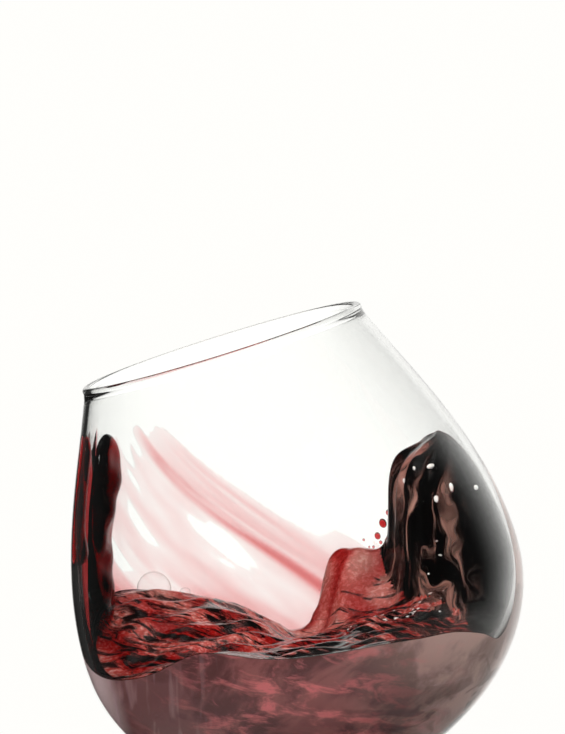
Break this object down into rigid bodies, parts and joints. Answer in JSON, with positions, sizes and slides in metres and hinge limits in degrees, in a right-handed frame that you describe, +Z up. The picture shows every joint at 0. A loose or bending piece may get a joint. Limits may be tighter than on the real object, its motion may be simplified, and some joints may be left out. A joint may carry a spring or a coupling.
{
  "type": "glass of red wine",
  "caption": "Large balloon wine glass on a slender stem, holding red wine caught in mid-swirl: it climbs the wall on one side and runs down it on the other.",
  "frame": {"origin": "middle of the foot's underside, on the glass's own axis", "axes": "+Z up along the stem; +X towards the side where the wine climbs the wall, seen from the front; +Y away from the front"},
  "size_m": [0.1, 0.1, 0.203],
  "materials": {
    "clear_glass": "polished clear crystal",
    "red_wine": "clear dark red liquid"
  },
  "bodies": {
    "root": {"glass": "clear_glass", "wine": "red_wine", "drip": "red_wine"}
  },
  "joints": []
}
